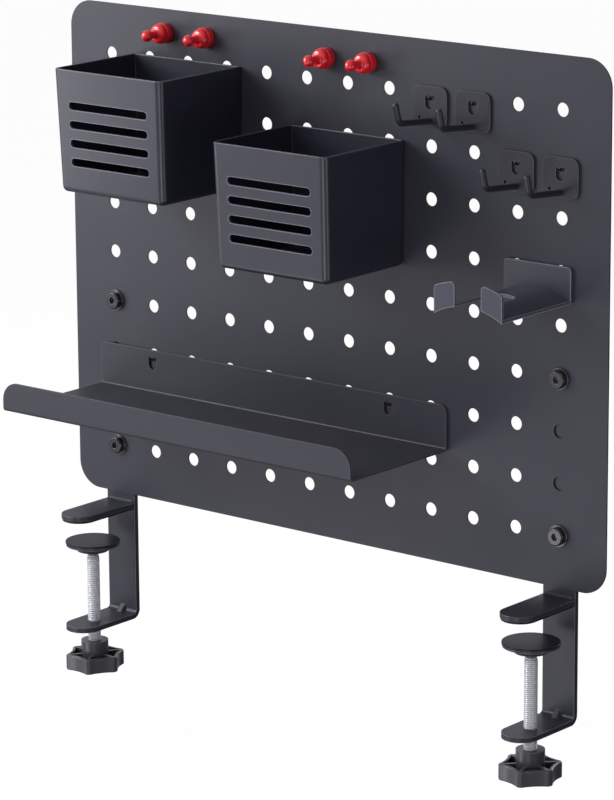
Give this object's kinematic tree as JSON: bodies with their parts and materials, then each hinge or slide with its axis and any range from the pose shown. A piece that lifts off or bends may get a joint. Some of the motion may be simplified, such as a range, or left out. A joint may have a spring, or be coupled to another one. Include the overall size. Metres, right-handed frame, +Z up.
{
  "type": "clamp-on pegboard desk organizer",
  "caption": "Perforated steel panel on two screw clamps, with hung open bins, a long tray, J hooks, a two-prong headphone hook and magnetic push pins.",
  "frame": {"origin": "midway between the two clamps, on the desk's top face and at its rear edge, which is the front of the uprights", "axes": "+Z up, +X to the right along the panel as seen from the front, -Y out of the panel towards the user"},
  "size_m": [0.5, 0.1256, 0.5137],
  "materials": {
    "panel_coat": "fine matt anthracite powder coat",
    "clamp_coat": "satin anthracite powder coat",
    "tray_coat": "fine matt anthracite powder coat",
    "hook_coat": "satin anthracite powder coat",
    "bin_plastic": "satin moulded anthracite plastic",
    "knob_plastic": "satin moulded black plastic",
    "dark_steel": "black oxide",
    "zinc_steel": "bright zinc plate",
    "pad_rubber": "matt black rubber",
    "pin_red": "glossy red plastic",
    "magnet_nickel": "nickel plate"
  },
  "bodies": {
    "root": {"pegboard_panel": "panel_coat", "panel_bolts": "dark_steel", "panel_washers": "dark_steel", "panel_nuts": "dark_steel", "left_bracket": "clamp_coat", "left_upper_jaw": "clamp_coat", "left_jaw_pad": "pad_rubber", "right_bracket": "clamp_coat", "right_upper_jaw": "clamp_coat", "right_jaw_pad": "pad_rubber"},
    "left_swivel": {"left_swivel_ball": "zinc_steel"},
    "left_screw": {"left_clamp_screw": "zinc_steel", "left_knob": "knob_plastic"},
    "left_pad": {"left_pad_plate": "clamp_coat", "left_pad_rubber": "pad_rubber"},
    "right_swivel": {"right_swivel_ball": "zinc_steel"},
    "right_screw": {"right_clamp_screw": "zinc_steel", "right_knob": "knob_plastic"},
    "right_pad": {"right_pad_plate": "clamp_coat", "right_pad_rubber": "pad_rubber"},
    "bin_left": {"bin_left": "bin_plastic"},
    "bin_right": {"bin_right": "bin_plastic"},
    "tray": {"tray": "tray_coat"},
    "hook_1": {"hook_1_plate": "hook_coat", "hook_1_rod": "hook_coat"},
    "hook_2": {"hook_2_plate": "hook_coat", "hook_2_rod": "hook_coat"},
    "hook_3": {"hook_3_plate": "hook_coat", "hook_3_rod": "hook_coat"},
    "hook_4": {"hook_4_plate": "hook_coat", "hook_4_rod": "hook_coat"},
    "headphone_hook": {"headphone_hook_plate": "hook_coat", "headphone_hook_cradle": "hook_coat"},
    "pin_1": {"pin_1_cap": "pin_red", "pin_1_magnet": "magnet_nickel"},
    "pin_2": {"pin_2_cap": "pin_red", "pin_2_magnet": "magnet_nickel"},
    "pin_3": {"pin_3_cap": "pin_red", "pin_3_magnet": "magnet_nickel"},
    "pin_4": {"pin_4_cap": "pin_red", "pin_4_magnet": "magnet_nickel"}
  },
  "joints": [
    {"name": "left_clamp_travel", "type": "slide", "parent": "root", "child": "left_swivel", "axis": [0, 0, 1], "range_m": [-0.0505, 0.0111]},
    {"name": "left_screw_turn", "type": "hinge", "parent": "left_swivel", "child": "left_screw", "pos_m": [-0.209, -0.033, -0.06], "axis": [0, 0, 1], "range_deg": [-12140, 2684]},
    {"name": "left_pad_tilt", "type": "hinge", "parent": "left_swivel", "child": "left_pad", "pos_m": [-0.209, -0.033, -0.0274], "axis": [1, 0, 0], "range_deg": [-3, 3]},
    {"name": "right_clamp_travel", "type": "slide", "parent": "root", "child": "right_swivel", "axis": [0, 0, 1], "range_m": [-0.0505, 0.0111]},
    {"name": "right_screw_turn", "type": "hinge", "parent": "right_swivel", "child": "right_screw", "pos_m": [0.209, -0.033, -0.06], "axis": [0, 0, 1], "range_deg": [-12140, 2684]},
    {"name": "right_pad_tilt", "type": "hinge", "parent": "right_swivel", "child": "right_pad", "pos_m": [0.209, -0.033, -0.0274], "axis": [1, 0, 0], "range_deg": [-3, 3]},
    {"name": "bin_left_lift", "type": "slide", "parent": "root", "child": "bin_left", "axis": [0, 0, 1], "range_m": [0, 0.0035]},
    {"name": "bin_right_lift", "type": "slide", "parent": "root", "child": "bin_right", "axis": [0, 0, 1], "range_m": [0, 0.0035]},
    {"name": "tray_lift", "type": "slide", "parent": "root", "child": "tray", "axis": [0, 0, 1], "range_m": [0, 0.0035]},
    {"name": "hook_1_lift", "type": "slide", "parent": "root", "child": "hook_1", "axis": [0, 0, 1], "range_m": [0, 0.0035]},
    {"name": "hook_2_lift", "type": "slide", "parent": "root", "child": "hook_2", "axis": [0, 0, 1], "range_m": [0, 0.0035]},
    {"name": "hook_3_lift", "type": "slide", "parent": "root", "child": "hook_3", "axis": [0, 0, 1], "range_m": [0, 0.0035]},
    {"name": "hook_4_lift", "type": "slide", "parent": "root", "child": "hook_4", "axis": [0, 0, 1], "range_m": [0, 0.0035]},
    {"name": "headphone_hook_lift", "type": "slide", "parent": "root", "child": "headphone_hook", "axis": [0, 0, 1], "range_m": [0, 0.0035]},
    {"name": "pin_1_pull", "type": "slide", "parent": "root", "child": "pin_1", "axis": [0, -1, 0], "range_m": [0, 0.02]},
    {"name": "pin_2_pull", "type": "slide", "parent": "root", "child": "pin_2", "axis": [0, -1, 0], "range_m": [0, 0.02]},
    {"name": "pin_3_pull", "type": "slide", "parent": "root", "child": "pin_3", "axis": [0, -1, 0], "range_m": [0, 0.02]},
    {"name": "pin_4_pull", "type": "slide", "parent": "root", "child": "pin_4", "axis": [0, -1, 0], "range_m": [0, 0.02]}
  ],
  "couplings": [
    {"joint": "left_screw_turn", "follows": "left_clamp_travel", "rad_per_m": 4188.8},
    {"joint": "right_screw_turn", "follows": "right_clamp_travel", "rad_per_m": 4188.8}
  ]
}
